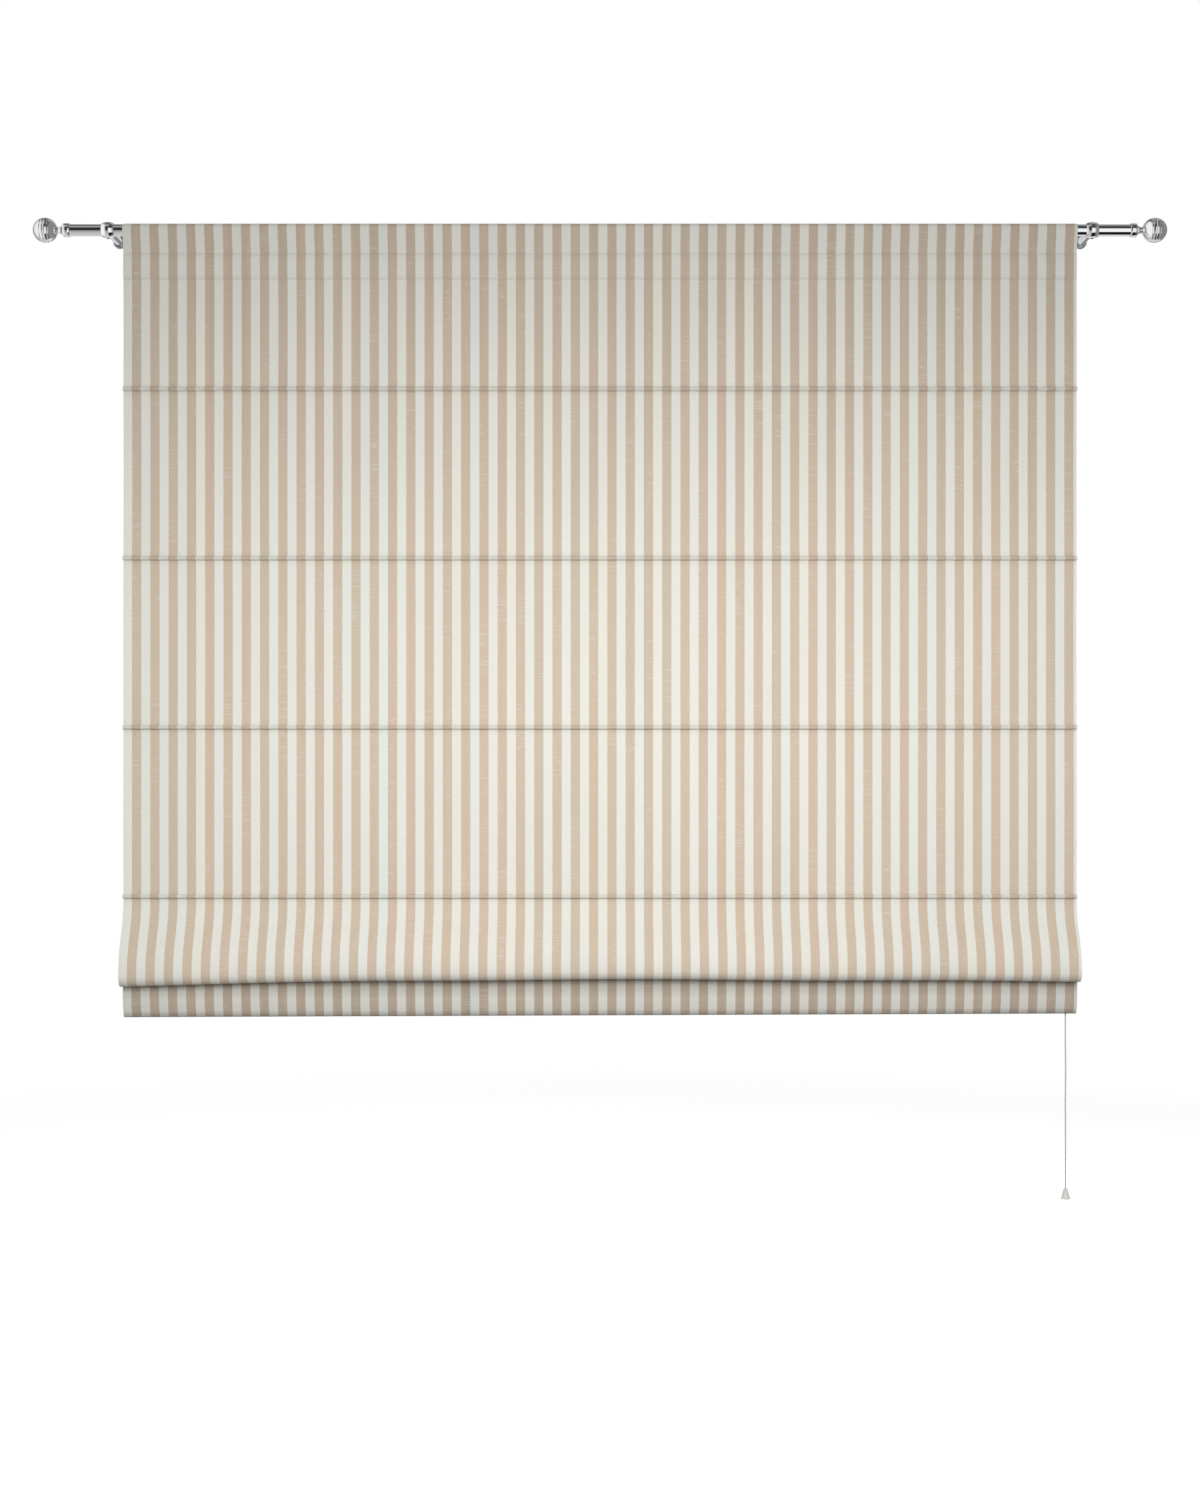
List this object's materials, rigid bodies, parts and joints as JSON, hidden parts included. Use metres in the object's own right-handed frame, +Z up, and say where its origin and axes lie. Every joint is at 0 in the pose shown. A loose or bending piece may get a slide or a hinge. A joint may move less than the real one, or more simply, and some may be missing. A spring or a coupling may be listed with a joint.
{
  "type": "roman blind",
  "caption": "Striped roman blind on a chrome rod with ball finials, its cloth stiffened by battens in small tucks, raised by lift cords through a cord lock and a pull cord with a bell.",
  "frame": {"origin": "on the wall plane, midway between the two bracket fixing holes, at the height of the rod's axis", "axes": "+X to the right as seen from the room, along the rod; +Y towards the wall; +Z up"},
  "size_m": [1.5468, 0.1089, 1.3413],
  "materials": {
    "chrome": "polished",
    "steel": "zinc plated",
    "bar": "extruded, mill finish",
    "striped_cloth": "woven, matte",
    "pine": "planed, bare",
    "fibreglass": "drawn rod, matte",
    "ring_plastic": "moulded, glossy",
    "lock_plastic": "moulded, satin",
    "white_cord": "braided, matte"
  },
  "bodies": {
    "blind": {"rod_tube": "chrome", "left_end_cap": "chrome", "right_end_cap": "chrome", "left_finial": "chrome", "right_finial": "chrome", "left_bracket": "chrome", "right_bracket": "chrome", "left_rosette": "chrome", "right_rosette": "chrome", "left_grub_screw": "steel", "right_grub_screw": "steel", "blind_cloth": "striped_cloth", "head_slat": "pine", "batten_1": "fibreglass", "batten_2": "fibreglass", "batten_3": "fibreglass", "batten_4": "fibreglass", "batten_5": "fibreglass", "bottom_bar": "bar", "ring_row_1": "ring_plastic", "ring_row_2": "ring_plastic", "ring_row_3": "ring_plastic", "ring_row_4": "ring_plastic", "ring_row_5": "ring_plastic", "cord_guides": "steel", "lock_housing": "lock_plastic", "lock_pulley_pin": "steel", "lock_pawl_pin": "steel", "lock_screws": "steel", "lift_cord_1": "white_cord", "lift_cord_2": "white_cord", "lift_cord_3": "white_cord", "lift_cord_4": "white_cord", "cord_joiner": "ring_plastic", "pull_cord": "white_cord", "cord_bell": "ring_plastic"},
    "pulley": {"lock_pulley": "lock_plastic"},
    "pawl": {"lock_pawl": "lock_plastic"}
  },
  "joints": [
    {"name": "lock_pulley_spin", "type": "hinge", "parent": "blind", "child": "pulley", "pos_m": [0.6316, -0.067, -0.0564], "axis": [0, 1, 0], "continuous": true},
    {"name": "lock_pawl_swing", "type": "hinge", "parent": "blind", "child": "pawl", "pos_m": [0.62265, -0.067, -0.04], "axis": [0, -1, 0], "range_deg": [0, 40]}
  ]
}
